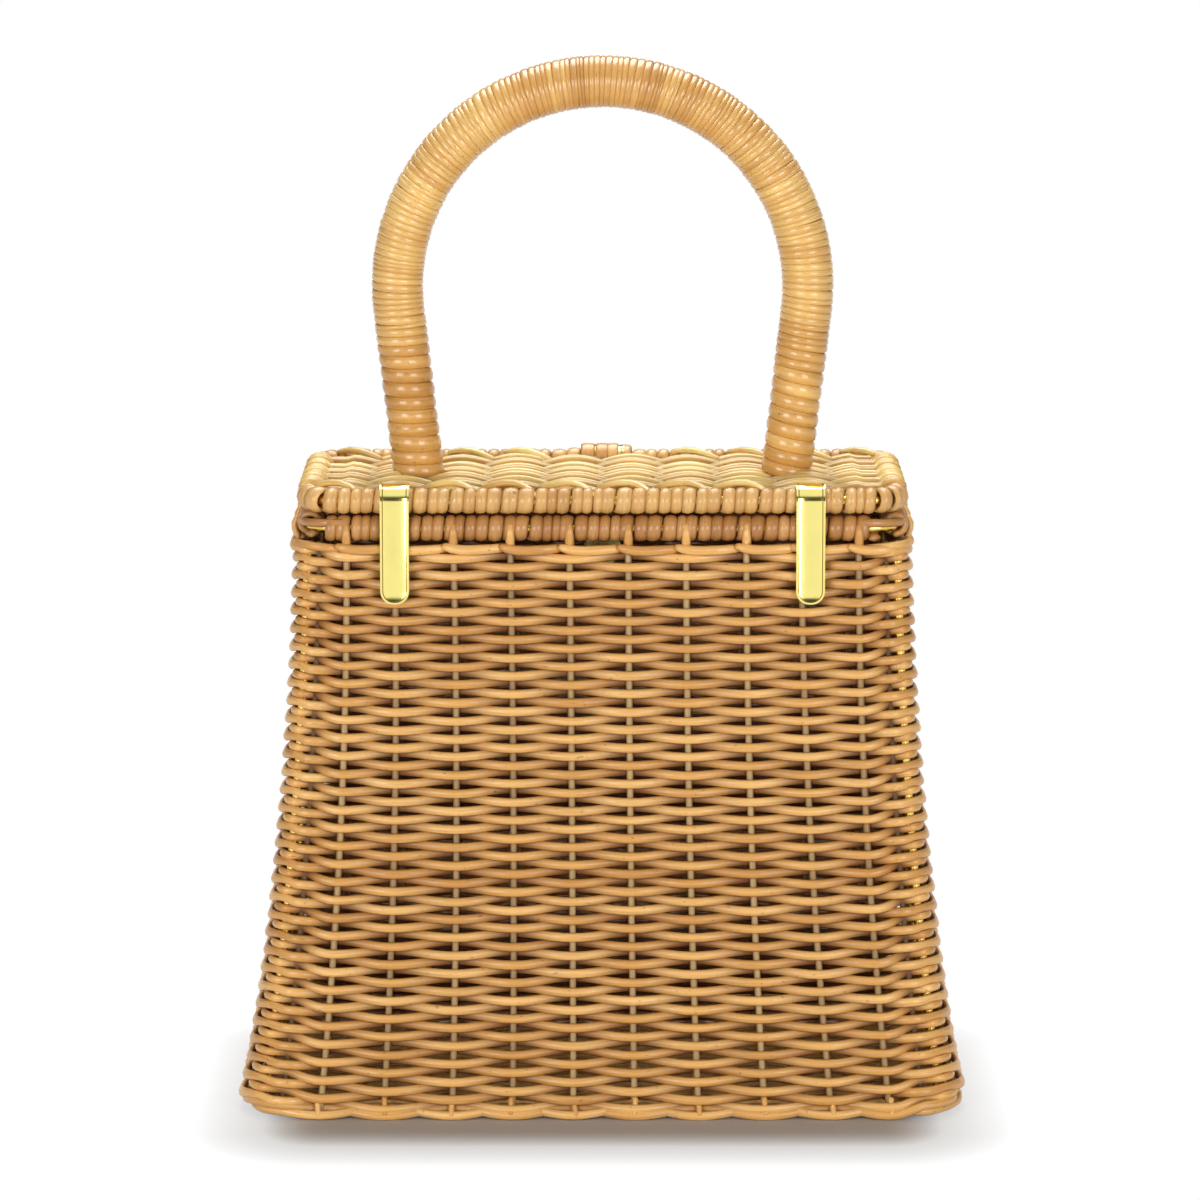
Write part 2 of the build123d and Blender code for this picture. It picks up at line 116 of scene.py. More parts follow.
def station_reaches(z):
    """Distance round the wall at height z of each corner and stake, from the left front corner on."""
    half_x, half_y, corner = wall_plan(z)
    quarter = pi * corner / 2
    flat_x, flat_y = 2 * (half_x - corner), 2 * (half_y - corner)
    share = z / WALL_HEIGHT
    front = half_x * (TOP_SHARES * share + LOW_SHARES * (1 - share))
    back = half_x * (TOP_SHARES[::-1] * share + LOW_SHARES[::-1] * (1 - share))
    side = half_y * SIDE_SHARES
    start, bend = quarter / 2, quarter * 0.27
    reaches = [0.0, start - bend, *(start + flat_x / 2 + front)]
    reaches += [start + flat_x + bend, start + flat_x + quarter / 2]
    start += flat_x + quarter
    reaches += [*(start + flat_y / 2 + side), start + flat_y + quarter / 2]
    start += flat_y + quarter
    reaches += [start - bend, *(start + flat_x / 2 - back)]
    reaches += [start + flat_x + bend, start + flat_x + quarter / 2]
    start += flat_x + quarter
    reaches += [*(start + flat_y / 2 + side)]
    return np.array(reaches), 2 * (flat_x + flat_y) + 4 * quarter


def unit(vectors):
    """Vectors brought to length one."""
    return vectors / np.maximum(np.linalg.norm(vectors, axis=-1, keepdims=True), 1e-9)


class Canes:
    """Canes drawn as oval tubes along their paths and gathered in one mesh."""

    def __init__(self, sides=8):
        self.sides = sides
        self.points, self.quads, self.marks, self.tints, self.depths, self.caps = [], [], [], [], [], []
        self.count = 0

    def lay(self, path, outward, thick, wide, closed=False, tint=None, depth=0.0):
        """Add one cane: half its thickness along outward, half its width across."""
        path = np.asarray(path, float)
        steps = len(path)
        outward = np.broadcast_to(np.asarray(outward, float), path.shape)
        thick = np.broadcast_to(np.asarray(thick, float), (steps,)).copy()
        wide = np.broadcast_to(np.asarray(wide, float), (steps,)).copy()
        depth = np.broadcast_to(np.asarray(depth, float), (steps,))
        if closed:
            heading = unit(np.roll(path, -1, 0) - np.roll(path, 1, 0))
        else:
            heading = unit(np.gradient(path, axis=0))
            first, last = path[0] - heading[0] * thick[0] * 0.7, path[-1] + heading[-1] * thick[-1] * 0.7
            path = np.vstack([first, path, last])
            heading = np.vstack([heading[0], heading, heading[-1]])
            outward = np.vstack([outward[0], outward, outward[-1]])
            thick = np.concatenate([[thick[0] * 0.62], thick, [thick[-1] * 0.62]])
            wide = np.concatenate([[wide[0] * 0.62], wide, [wide[-1] * 0.62]])
            depth = np.concatenate([depth[:1], depth, depth[-1:]])
            steps += 2
        out = unit(outward - heading * np.sum(outward * heading, 1, keepdims=True))
        across = np.cross(heading, out)
        angles = pi + 2 * pi * np.arange(self.sides) / self.sides
        ring = (
            path[:, None]
            + out[:, None] * (np.cos(angles)[None, :, None] * thick[:, None, None])
            + across[:, None] * (np.sin(angles)[None, :, None] * wide[:, None, None])
        )
        span = np.linalg.norm(np.diff(np.vstack([path, path[:1]]), axis=0), axis=1)
        length = np.concatenate([[0], np.cumsum(span)]) / 10
        tint = chance.random() if tint is None else tint
        index = self.count + np.arange(steps * self.sides).reshape(steps, self.sides)
        here = index if closed else index[:-1]
        ahead = np.roll(index, -1, 0) if closed else index[1:]
        turn = lambda rows: np.roll(rows, -1, 1)
        self.quads.append(np.stack([here, turn(here), turn(ahead), ahead], -1).reshape(-1, 4))
        count = len(here)
        low, high = length[:count, None], length[1 : count + 1, None]
        lap = np.arange(self.sides)[None] / self.sides
        step = 1 / self.sides
        flat = np.ones((count, self.sides))
        marks = [(low * flat, lap * flat), (low * flat, (lap + step) * flat)]
        marks += [(high * flat, (lap + step) * flat), (high * flat, lap * flat)]
        self.marks.append(np.stack([np.stack(mark, -1) for mark in marks], 2).reshape(-1, 2))
        if not closed:
            self.caps.append((index[0][::-1], length[0]))
            self.caps.append((index[-1], length[steps - 1]))
        self.points.append(ring.reshape(-1, 3))
        self.tints.append(np.full(steps * self.sides, tint))
        self.depths.append(np.repeat(depth, self.sides))
        self.count += steps * self.sides

    def piece(self, name, body, node, finish):
        """Make the gathered canes one piece that stands for a solid."""
        points = np.vstack(self.points) * MM
        quads = np.vstack(self.quads)
        mesh = bpy.data.meshes.new(name)
        mesh.vertices.add(len(points))
        mesh.vertices.foreach_set("co", points.astype(np.float32).ravel())
        cap_loops = [cap for cap, _ in self.caps]
        loops = np.concatenate([quads.ravel(), *cap_loops]) if cap_loops else quads.ravel()
        sizes = np.concatenate([np.full(len(quads), 4), [len(cap) for cap in cap_loops]]).astype(np.int32)
        starts = np.concatenate([[0], np.cumsum(sizes)[:-1]]).astype(np.int32)
        mesh.loops.add(len(loops))
        mesh.loops.foreach_set("vertex_index", loops.astype(np.int32))
        mesh.polygons.add(len(sizes))
        mesh.polygons.foreach_set("loop_start", starts)
        mesh.update(calc_edges=True)
        marks = np.vstack(self.marks)
        ends = [np.stack([np.full(len(cap), at), np.linspace(0, 0.9, len(cap))], 1) for cap, at in self.caps]
        marks = np.vstack([marks, *ends]) if ends else marks
        layer = mesh.uv_layers.new(name="along_cane")
        layer.data.foreach_set("uv", marks.astype(np.float32).ravel())
        # depth says how deep a cane sits in the weave; the cane finishes turn it into painted shade.
        for label, values in (("tint", self.tints), ("depth", self.depths)):
            attribute = mesh.attributes.new(label, "FLOAT", "POINT")
            attribute.data.foreach_set("value", np.concatenate(values).astype(np.float32))
        mesh.validate()
        mesh.shade_smooth()
        thing = bpy.data.objects.new(name, mesh)
        bpy.context.collection.objects.link(thing)
        mesh.materials.append(finish)
        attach(thing, body)
        if node:
            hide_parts(node)
        return thing


class Value:
    """A number on its way through a finish. Sums with it add Math nodes."""

    def __init__(self, finish, socket):
        self.finish, self.socket = finish, socket

    def sum(self, operation, first, second):
        return self.finish.node("ShaderNodeMath", {"operation": operation}, {0: first, 1: second})

    def __add__(self, other):
        return self.sum("ADD", self, other)

    def __radd__(self, other):
        return self.sum("ADD", other, self)

    def __sub__(self, other):
        return self.sum("SUBTRACT", self, other)

    def __rsub__(self, other):
        return self.sum("SUBTRACT", other, self)

    def __mul__(self, other):
        return self.sum("MULTIPLY", self, other)

    def __rmul__(self, other):
        return self.sum("MULTIPLY", other, self)

    def __pow__(self, other):
        return self.sum("POWER", self, other)


class Finish:
    """A material, or the air of the room, built node by node."""

    def __init__(self, owner):
        self.owner = owner
        self.owner.use_nodes = True
        self.tree = self.owner.node_tree
        self.tree.nodes.clear()

    def node(self, kind, settings=None, inputs=None, output=0):
        """Add a node, set it up, feed its sockets and give back one of its outputs."""
        made = self.tree.nodes.new(kind)
        for key, value in (settings or {}).items():
            if key == "stops":
                while len(made.color_ramp.elements) < len(value):
                    made.color_ramp.elements.new(0.5)
                for element, (place, colour) in zip(made.color_ramp.elements, value):
                    element.position, element.color = place, colour
            else:
                setattr(made, key, value)
        for key, value in (inputs or {}).items():
            socket = made.inputs[key]
            if isinstance(value, Value):
                self.tree.links.new(value.socket, socket)
            else:
                socket.default_value = value
        return Value(self, made.outputs[output])

    def ramp(self, value, *stops):
        """Numbers or colours picked along a value."""
        full = lambda colour: (*colour, 1) if isinstance(colour, tuple) else (colour, colour, colour, 1)
        stops = [(place, full(colour)) for place, colour in stops]
        return self.node("ShaderNodeValToRGB", {"stops": stops}, {"Fac": value})

    def mix(self, share, first, second, way="MIX"):
        """Two colours mixed."""
        settings = {"data_type": "RGBA", "blend_type": way}
        return self.node("ShaderNodeMix", settings, {0: share, 6: first, 7: second}, 2)

    def grain(self, vector, scale, detail=2.0, rough=0.5):
        """Soft noise over a set of coordinates."""
        inputs = {"Vector": vector, "Scale": scale, "Detail": detail, "Roughness": rough}
        return self.node("ShaderNodeTexNoise", None, inputs)

    def most(self, first, second):
        """The larger of two numbers."""
        return self.node("ShaderNodeMath", {"operation": "MAXIMUM"}, {0: first, 1: second})

    def size_of(self, value):
        """A number without its sign."""
        return self.node("ShaderNodeMath", {"operation": "ABSOLUTE"}, {0: value})

    def ray(self, kind):
        """1 for one kind of ray and 0 for the others."""
        return self.node("ShaderNodeLightPath", None, None, f"Is {kind} Ray")

    def blend(self, share, first, second):
        """Two shaders mixed."""
        return self.node("ShaderNodeMixShader", None, {0: share, 1: first, 2: second})

    def close(self, **inputs):
        """End in one glossy or matte surface."""
        names = {key.replace("_", " "): value for key, value in inputs.items()}
        self.cover(self.node("ShaderNodeBsdfPrincipled", None, names))
        return self.owner

    def cover(self, shader, ending="ShaderNodeOutputMaterial"):
        """Lay a shader on the surface."""
        last = self.tree.nodes.new(ending)
        self.tree.links.new(shader.socket, last.inputs["Surface"])


def new_finish(name):
    """An empty finish for a piece."""
    return Finish(bpy.data.materials.new(name))


def linear(red, green, blue):
    """A screen colour as light."""
    channel = lambda value: value / 12.92 if value <= 0.04045 else ((value + 0.055) / 1.055) ** 2.4
    return tuple(channel(value / 255) for value in (red, green, blue)) + (1.0,)


def cane_finish(name, pale, honey, ripe, fleck_and_shade, relief=0.3, inside=0.0, polish=0.3):
    """Varnished cane: tone from strand to strand, long fibres and dark flecks, with painted shade on canes
    set deep in the weave and on the side of each cane that faces into the wall.
    """
    cane = new_finish(name)
    mark = cane.node("ShaderNodeUVMap", {"uv_map": "along_cane"})
    tint = cane.node("ShaderNodeAttribute", {"attribute_name": "tint"}, None, 2)
    depth = cane.node("ShaderNodeAttribute", {"attribute_name": "depth"}, None, 2)
    shift = cane.node("ShaderNodeCombineXYZ", None, {"X": tint * 37.0, "Z": tint * 91.0})
    place = cane.node("ShaderNodeVectorMath", {"operation": "ADD"}, {0: mark, 1: shift})
    stretch = lambda x, y: cane.node("ShaderNodeMapping", None, {"Vector": place, "Scale": (x, y, 1.0)})
    fibres = cane.grain(stretch(0.55, 13.0), 1.0, 3.0, 0.6)
    ribs = cane.grain(stretch(0.4, 6.0), 1.0, 1.0)
    streaks = cane.grain(stretch(0.22, 5.0), 1.0, 2.0)
    patches = cane.grain(stretch(0.5, 0.6), 1.0, 2.0)
    flecks = cane.grain(stretch(6.0, 9.0), 1.0, 1.0)
    tone = tint * 0.5 + patches * 0.55 + streaks * 0.35 - 0.2
    colour = cane.ramp(tone, (0.12, ripe[:3]), (0.5, honey[:3]), (0.9, pale[:3]))
    lines = cane.ramp(fibres, (0.3, 0.72), (0.52, 1.0), (0.75, 1.08))
    colour = cane.mix(0.75, colour, lines, "MULTIPLY")
    spots = cane.ramp(flecks, (0.2, 1.0), (0.3, 0.0))
    colour = cane.mix(spots * 0.55, colour, fleck_and_shade)
    # Painted shade: the deeper a cane sits in the weave, the more its colour goes to the dark shade colour.
    colour = cane.mix(depth * 0.85, colour, fleck_and_shade)
    # Painted shade on the side of each cane that faces into the wall, scaled by inside.
    lap = cane.node("ShaderNodeSeparateXYZ", None, {0: mark}, 1)
    away = cane.size_of(lap - 0.5)
    colour = cane.mix(cane.ramp(away, (0.22, 0.0), (0.4, 1.0)) * inside, colour, fleck_and_shade)
    rough = 0.34 + fibres * 0.16 + depth * 0.2
    ridges = {"Strength": relief, "Distance": 0.0004, "Height": ribs * 0.8 + streaks * 0.6}
    bump = cane.node("ShaderNodeBump", None, ridges)
    coat = polish - depth * polish
    return cane.close(
        Base_Color=colour, Roughness=rough, Normal=bump, IOR=1.48, Coat_Weight=coat, Coat_Roughness=0.18
    )


def brass_finish(name, colour, rough):
    """Polished brass plate with faint tarnish and hairline rubbing."""
    brass = new_finish(name)
    place = brass.node("ShaderNodeTexCoord", None, None, 3)
    clouds = brass.grain(place, 70.0, 4.0, 0.6)
    scratch = brass.node("ShaderNodeMapping", None, {"Vector": place, "Scale": (900.0, 900.0, 60.0)})
    hairs = brass.grain(scratch, 1.0, 2.0)
    tarnish = brass.ramp(clouds, (0.35, 0.0), (0.75, 1.0))
    dull = tuple(value * 0.82 for value in colour[:3]) + (1.0,)
    tone = brass.mix(tarnish * 0.55, colour, dull)
    shine = rough + tarnish * 0.07 + hairs * 0.05
    ridges = {"Strength": 0.06, "Distance": 0.0003, "Height": clouds + hairs * 0.3}
    bump = brass.node("ShaderNodeBump", None, ridges)
    return brass.close(Base_Color=tone, Metallic=1.0, Roughness=shine, Normal=bump)


def wood_finish(name):
    """Plain peeled rod under the coil."""
    wood = new_finish(name)
    place = wood.node("ShaderNodeTexCoord", None, None, 3)
    stretch = wood.node("ShaderNodeMapping", None, {"Vector": place, "Scale": (260.0, 260.0, 22.0)})
    grain = wood.grain(stretch, 1.0, 4.0, 0.6)
    colour = wood.ramp(grain, (0.3, linear(150, 108, 62)[:3]), (0.7, linear(205, 165, 110)[:3]))
    bump = wood.node("ShaderNodeBump", None, {"Strength": 0.2, "Distance": 0.0003, "Height": grain})
    return wood.close(Base_Color=colour, Roughness=0.45 + grain * 0.2, Normal=bump)


# The body cane also takes painted shade on the inward side of its canes (inside=0.55).
body_cane = cane_finish(
    "honey_cane",
    linear(242, 192, 118),
    linear(222, 166, 90),
    linear(192, 132, 62),
    linear(84, 30, 3),
    inside=0.55,
)
# Painted shade: the rim binding is a darker copy of the cane, for the shade under the lid.
shaded_rim_cane = cane_finish(
    "shaded_rim_cane", linear(206, 153, 92), linear(184, 130, 70), linear(156, 102, 48), linear(48, 18, 4)
)
# Painted light: the lid cane is a paler, yellower copy of the cane, for the brighter light on the lid's top.
lit_lid_cane = cane_finish(
    "lit_pale_cane", linear(244, 218, 142), linear(230, 194, 116), linear(202, 156, 82), linear(96, 54, 14)
)
lid_rim_cane = cane_finish(
    "lid_rim_cane", linear(234, 190, 120), linear(214, 166, 98), linear(184, 132, 68), linear(70, 34, 8)
)
grip_cane = cane_finish(
    "grip_cane",
    linear(246, 206, 126),
    linear(216, 163, 87),
    linear(190, 134, 62),
    linear(92, 50, 16),
    relief=0.04,
    polish=0.6,
)
stake_cane = cane_finish(
    "stake_cane", linear(198, 166, 112), linear(170, 136, 86), linear(142, 108, 64), linear(48, 18, 4)
)
brass = brass_finish("polished_brass", linear(253, 238, 144), 0.07)
# Painted shade: a dark brass for the strap's border groove, standing in for shade and a dark reflection
# there.
groove_shade_brass = brass_finish("groove_shade_brass", linear(120, 92, 36), 0.3)
wire_brass = brass_finish("brass_wire", linear(232, 196, 104), 0.2)
rod_wood = wood_finish("peeled_rod")


def smooth_between(values, steps):
    """A ring of station values carried smoothly from each station to the next."""
    ahead = np.roll(values, -1)
    ease = (1 - np.cos(pi * np.arange(steps) / steps)) / 2
    return (values[:, None] + (ahead - values)[:, None] * ease[None]).ravel()


def wall_normals(out, z):
    """Outward directions tipped up by the slope of the wall."""
    drop = 1 - z / WALL_HEIGHT
    rate = (0.3 + 1.4 * drop) / WALL_HEIGHT
    slope_x = (BASE_WIDTH - NECK_WIDTH) / 2 * rate
    slope_y = (BASE_DEPTH - NECK_DEPTH) / 2 * rate
    rise = np.abs(out[:, 0]) * slope_x + np.abs(out[:, 1]) * slope_y
    return unit(np.column_stack([out, rise]))


STATION = np.arange(STATIONS)
IS_CORNER = np.isin(STATION, CORNER_STATIONS)
IS_ROD = np.isin(STATION, CORNER_RODS)
IS_SIDE = ((STATION > 13) & (STATION < 18)) | (STATION > 31)
BY_CORNER = np.isin(STATION, (2, 11, 20, 29))
AT_BACK = STATION > 13
STEPS = 6


def lay_row(canes, row):
    """One row of the wall: over and under the stakes, outside the corner posts."""
    z = (row + 0.5) * ROW_PITCH
    low = 1 - z / WALL_HEIGHT
    reaches, whole = station_reaches(z)
    over = np.where((STAKE_ORDER + row) % 2 == 0, 1.0, -1.0)
    over[IS_CORNER] = 1.0
    sag = 0.5 + 0.4 * low**2
    lift = np.where(over > 0, -sag, 0.05)
    lift[IS_SIDE] += 1.2
    lift[BY_CORNER] += 0.35 + 0.3 * low**2
    lift[IS_ROD] = 1.5 + 0.6 * low**2
    lift[IS_CORNER] = 2.1 + 0.5 * low**2 + (0.22 if row % 2 else -0.22)
    lift += chance.normal(0, 0.09, STATIONS)
    inset = CANE_THICK + 0.1 + WEAVE_SWING * (1 - over) + np.abs(chance.normal(0, 0.12, STATIONS))
    inset[IS_CORNER] += 0.8 * max(0.0, 1 - row / 3)
    inset[IS_CORNER | IS_ROD | IS_SIDE] -= 2.0 * np.exp(-row / 6)
    ahead = np.append(reaches[1:], whole)
    share = np.arange(STEPS) / STEPS
    reach = (reaches[:, None] + (ahead - reaches)[:, None] * share[None]).ravel()
    inset, lift = smooth_between(inset, STEPS), smooth_between(lift, STEPS)
    line = outline(*wall_plan(z))
    place, out = along(line, reach)
    height = z + lift + chance.normal(0, 0.05)
    path = np.column_stack([place - out * inset[:, None], height])
    fat = 1 + chance.normal(0, 0.03)
    slim = smooth_between(np.where(IS_CORNER, 0.9, np.where(AT_BACK, 1.22, 1.02)), STEPS)
    # Deeper canes get more painted shade in the finish.
    depth = np.clip((inset - CANE_THICK) / (2 * WEAVE_SWING), 0, 1) ** 1.5
    canes.lay(path, wall_normals(out, z), CANE_THICK * fat, CANE_HIGH * fat * slim, True, depth=depth)


def wall_rows(name, first, last, node):
    """A band of woven rows."""
    canes = Canes()
    for row in range(first, last):
        lay_row(canes, row)
    return canes.piece(name, "body", node, body_cane)


def wall_stakes():
    """Upright stakes inside the weave, cut off under the lowest row."""
    canes = Canes()
    heights = np.linspace(0.9, WALL_HEIGHT - 0.6, 26)
    rings = [station_reaches(z)[0] for z in heights]
    lines = [outline(*wall_plan(z)) for z in heights]
    for station in range(STATIONS):
        if IS_CORNER[station]:
            continue
        foot, deep = (5.5, 1.6) if IS_ROD[station] else (0.9, 0.0)
        path, outs = [], []
        for z, ring, line in zip(heights, rings, lines):
            place, out = along(line, ring[station : station + 1])
            path.append([*(place[0] - out[0] * (CANE_THICK + 0.1 + WEAVE_SWING + deep)), max(z, foot)])
            outs.append([*out[0], 0.0])
        canes.lay(path, outs, STAKE_RADIUS * 0.95, STAKE_RADIUS * 1.08, depth=0.12 + 0.45 * deep)
    return canes.piece("wall_stakes", "body", "body_weave", stake_cane)


def bottom_border():
    """Two canes twined round the foot of the wall, scalloped under the stakes."""
    canes = Canes()
    z = 1.6
    reaches, whole = station_reaches(z)
    line = outline(*wall_plan(z))
    ahead = np.append(reaches[1:], whole)
    steps = 8
    share = np.arange(steps) / steps
    reach = (reaches[:, None] + (ahead - reaches)[:, None] * share[None]).ravel()
    for strand in (0, 1):
        over = np.where((STAKE_ORDER + strand) % 2 == 0, 1.0, -1.0)
        at_corner = IS_CORNER | IS_ROD
        inset = np.where(at_corner, 0.9 if strand else 2.2, 1.35 + 1.5 * (1 - over) + 0.4 * IS_SIDE)
        inset = smooth_between(inset, steps)
        lift = np.where(at_corner, 3.3 if strand else 0.9, np.where(over > 0, -0.1, 1.6) + 1.1 * IS_SIDE)
        lift = lift + chance.normal(0, 0.1, STATIONS)
        place, out = along(line, reach)
        path = np.column_stack([place - out * inset[:, None], z + smooth_between(lift, steps)])
        canes.lay(path, wall_normals(out, z), 1.3, 1.45, True, depth=np.clip((inset - 1.4) / 6, 0, 1))
    for station in STATION[~IS_CORNER & ~IS_ROD]:
        place, out = along(line, np.array([reaches[station] + chance.normal(0, 0.5)]))
        out3, spot = np.array([*out[0], 0.0]), np.array([*place[0], 1.1 * IS_SIDE[station]])
        slant = chance.normal(0, 0.35)
        levels = np.array([6.5, 4.6, 3.0, 1.9 + chance.random() * 0.5])
        inset = np.array([3.0, 2.6, 1.5, 0.75]) + 0.4 * IS_SIDE[station]
        side = np.array([-out[0][1], out[0][0], 0.0])
        path = spot - out3 * inset[:, None] + side * (slant * np.array([0, 0.3, 0.7, 1]))[:, None]
        canes.lay(path + np.array([0, 0, 1.0]) * levels[:, None], out3, 0.85, 0.95)
    return canes.piece("bottom_border", "body", "body_weave", body_cane)


def bag_floor():
    """Woven floor of the bag."""
    canes = Canes(6)
    half_x, half_y, corner = wall_plan(FLOOR_Z)
    posts = LOW_SHARES * half_x
    for row in range(FLOOR_ROWS):
        y = (row + 0.5 - FLOOR_ROWS / 2) * (2 * half_y - 9.0) / FLOOR_ROWS
        fall = max(0.0, abs(y) - (half_y - corner))
        reach = half_x - corner + (max(corner - 4.0, 0.1) ** 2 - min(fall, corner - 4.2) ** 2) ** 0.5 - 1.5
        x = np.linspace(-reach, reach, 61)
        phase = np.interp(x, posts, np.arange(10.0), left=-0.5, right=9.5)
        z = FLOOR_Z + 1.15 * np.cos(pi * (phase + row))
        path = np.column_stack([x, np.full_like(x, y) + chance.normal(0, 0.08), z])
        canes.lay(path, (0, 0, 1), 1.0, 1.42, depth=0.15)
    for x in posts:
        y = np.linspace(-half_y + 4.5, half_y - 4.5, 8)
        path = np.column_stack([np.full_like(y, x), y, np.full_like(y, FLOOR_Z)])
        canes.lay(path, (0, 0, 1), 0.8, 1.1, depth=0.2)
    return canes.piece("bag_floor", "body", "body_weave", body_cane)


def hidden_step(share):
    """Share of a turn's advance: slow round the outside of the rim, quick on its hidden side."""
    return 0.35 * share + 0.65 * (0.5 - 0.5 * np.cos(pi * np.clip(share * 4.0 - 3.0, 0, 1)))


def bind(canes, axis, outs, ups, start, end, pitch, radius, thick, uneven=0.17, steps=12, swollen=None):
    """Coil a cane round a line: axis, outs and ups give its place and cross directions at a distance."""
    turns = max(int(round((end - start) / pitch)), 1)
    widths = pitch * (1 + chance.normal(0, uneven, turns).clip(-0.3, 0.3))
    widths *= (end - start) / widths.sum()
    marks = start + np.concatenate([[0], np.cumsum(widths)])
    turn = np.arange(turns * steps + 1) / steps
    lap = np.floor(turn) + hidden_step(turn % 1.0)
    reach = np.interp(lap, np.arange(turns + 1), marks)
    wide = np.interp(lap, np.arange(turns) + 0.5, widths) / 2
    centre, out, up = axis(reach), outs(reach), ups(reach)
    angle = 2 * pi * turn - pi / 2
    side = out * np.cos(angle)[:, None] + up * np.sin(angle)[:, None]
    swell = np.interp(turn, np.arange(turns + 1), chance.normal(0, 0.06, turns + 1).clip(-0.12, 0.12))
    bulge = swollen(centre, angle) if swollen else 0 * turn
    thick = thick - 0.7 * bulge
    path = centre + side * (radius - thick + swell + 1.95 * bulge)[:, None]
    tints = 0.5 + 0.5 * (chance.random(turns) - 0.5) + 0.2 * np.sin(np.arange(turns) * 0.9)
    for first in range(turns):
        part = slice(first * steps, (first + 1) * steps + 1)
        canes.lay(path[part], side[part], thick[part], wide[part] * 1.03, tint=tints[first])


def straight(first, second):
    """A line from one point to another, with its cross directions."""
    first, second = np.array(first, float), np.array(second, float)
    heading = unit(second - first)
    up = np.array([0.0, 0.0, 1.0])
    out = np.cross(heading, up)
    spot = lambda reach: first + np.asarray(reach)[:, None] * heading
    return spot, lambda reach: np.tile(out, (len(reach), 1)), lambda reach: np.tile(up, (len(reach), 1))


def body_rim():
    """Cane bound round the mouth wire, with the wire bare at the corners."""
    canes = Canes()
    run_x, run_y = RIM_X - RIM_CORNER, RIM_Y - RIM_CORNER
    corners = [(-run_x, -RIM_Y), (run_x, -RIM_Y), (RIM_X, -run_y), (RIM_X, run_y)]
    corners += [(run_x, RIM_Y), (-run_x, RIM_Y), (-RIM_X, run_y), (-RIM_X, -run_y)]
    for first, second in zip(corners[::2], corners[1::2]):
        length = np.hypot(second[0] - first[0], second[1] - first[1])
        lines = straight((*first, BODY_RIM_Z), (*second, BODY_RIM_Z))
        bind(canes, *lines, -2.2, length + 2.2, RIM_PITCH, RIM_RADIUS, RIM_CANE)
    for sx in (-1, 1):
        for sy in (-1, 1):
            angle = np.linspace(-0.15, pi / 2 + 0.15, 12)
            hub = np.array([sx * run_x, sy * run_y])
            side = np.column_stack([sx * np.cos(angle), sy * np.sin(angle)])
            place = hub + side * (RIM_CORNER + 2.3)
            rise = BODY_RIM_Z + 0.9 + 1.1 * np.sin(angle - 0.1)
            canes.lay(np.column_stack([place, rise]), np.column_stack([side, 0 * angle]), 1.2, 1.35)
    return canes.piece("body_rim_coil", "body", "body_rim_wrap", shaded_rim_cane)


def rim_pegs():
    """Stake tops turned over under the body rim, each lying across to the next."""
    canes = Canes()
    z = WALL_HEIGHT - 1.6
    reaches, whole = station_reaches(z)
    line = outline(*wall_plan(z))
    for reach in reaches[~IS_CORNER & ~IS_ROD]:
        place, out = along(line, np.array([reach]))
        out3 = np.array([*out[0], 0.0])
        spot = np.array([*place[0], 0.0])
        levels = np.array([181.0, 183.2, 185.0, 186.8, 188.4])
        inset = np.array([2.2, 1.5, 0.85, 0.75, 1.6])
        path = spot - out3 * inset[:, None] + np.array([0, 0, 1.0]) * levels[:, None]
        canes.lay(path, out3, 1.1, np.array([1.4, 1.45, 1.4, 1.25, 1.0]))
        sweep = reach + np.array([-2.6, -1.0, 2.0, 5.0, 8.0, 11.0, 13.5, 16.0])
        place, out = along(line, sweep)
        inset = np.array([1.3, 0.75, 0.55, 0.6, 0.75, 1.1, 2.0, 3.2])
        height = np.array([181.9, 181.5, 181.0, 180.9, 181.0, 181.1, 181.2, 181.3])
        path = np.column_stack([place - out * inset[:, None], height + chance.normal(0, 0.12)])
        wide = np.array([1.2, 1.5, 1.6, 1.6, 1.6, 1.55, 1.5, 1.4])
        canes.lay(path, np.column_stack([out, 0 * sweep]), 1.25, wide)
    for reach in reaches[IS_CORNER]:
        sweep = reach + np.linspace(-15.0, 15.0, 17)
        bend = np.linspace(-1, 1, 17) ** 2
        place, out = along(line, sweep)
        path = np.column_stack([place - out * (1.2 + 3.0 * bend**1.5)[:, None], 182.1 - 1.6 * bend])
        canes.lay(path, np.column_stack([out, 0 * sweep]), 1.25, 1.4)
    return canes.piece("rim_pegs", "body", "body_weave", body_cane)


def over_clasp(centre, angle):
    """Where the lid's binding swells over the hook of the clasp tab, 0 to 1."""
    near = np.exp(-((centre[:, 0] / TAB_SPAN) ** 6)) * (centre[:, 1] > 0)
    return near * np.clip(np.sin(angle) * 1.4 + 0.5, 0, 1)


def lid_rim():
    """Cane bound all round the lid's wire."""
    canes = Canes()
    line = outline(RIM_X, RIM_Y, RIM_CORNER)
    whole = line[2][-1]
    axis = lambda reach: np.column_stack([along(line, reach)[0], np.full(len(reach), LID_RIM_Z)])
    outs = lambda reach: np.column_stack([along(line, reach)[1], np.zeros(len(reach))])
    ups = lambda reach: np.tile([0.0, 0.0, 1.0], (len(reach), 1))
    bind(canes, axis, outs, ups, 0.0, whole, RIM_PITCH, RIM_RADIUS, RIM_CANE, swollen=over_clasp)
    return canes.piece("lid_rim_coil", "lid", "lid_rim_wrap", lid_rim_cane)


LID_POSTS = (np.arange(10) - 4.5) * LID_POST_PITCH


def clear_of_hooks(x, y):
    """How far a lid cane bends in to leave room for the hinge hooks and the clasp hook."""
    front = np.exp(-(((np.abs(x) - HINGE_X) / 7.0) ** 4)) * np.clip(1.0 - (y + LID_Y + 0.4) / 6.5, 0, 1)
    back = np.exp(-((x / 9.5) ** 4)) * np.clip(1.0 + (y - LID_Y - 0.4) / 6.5, 0, 1)
    return 2.6 * front - 2.6 * back


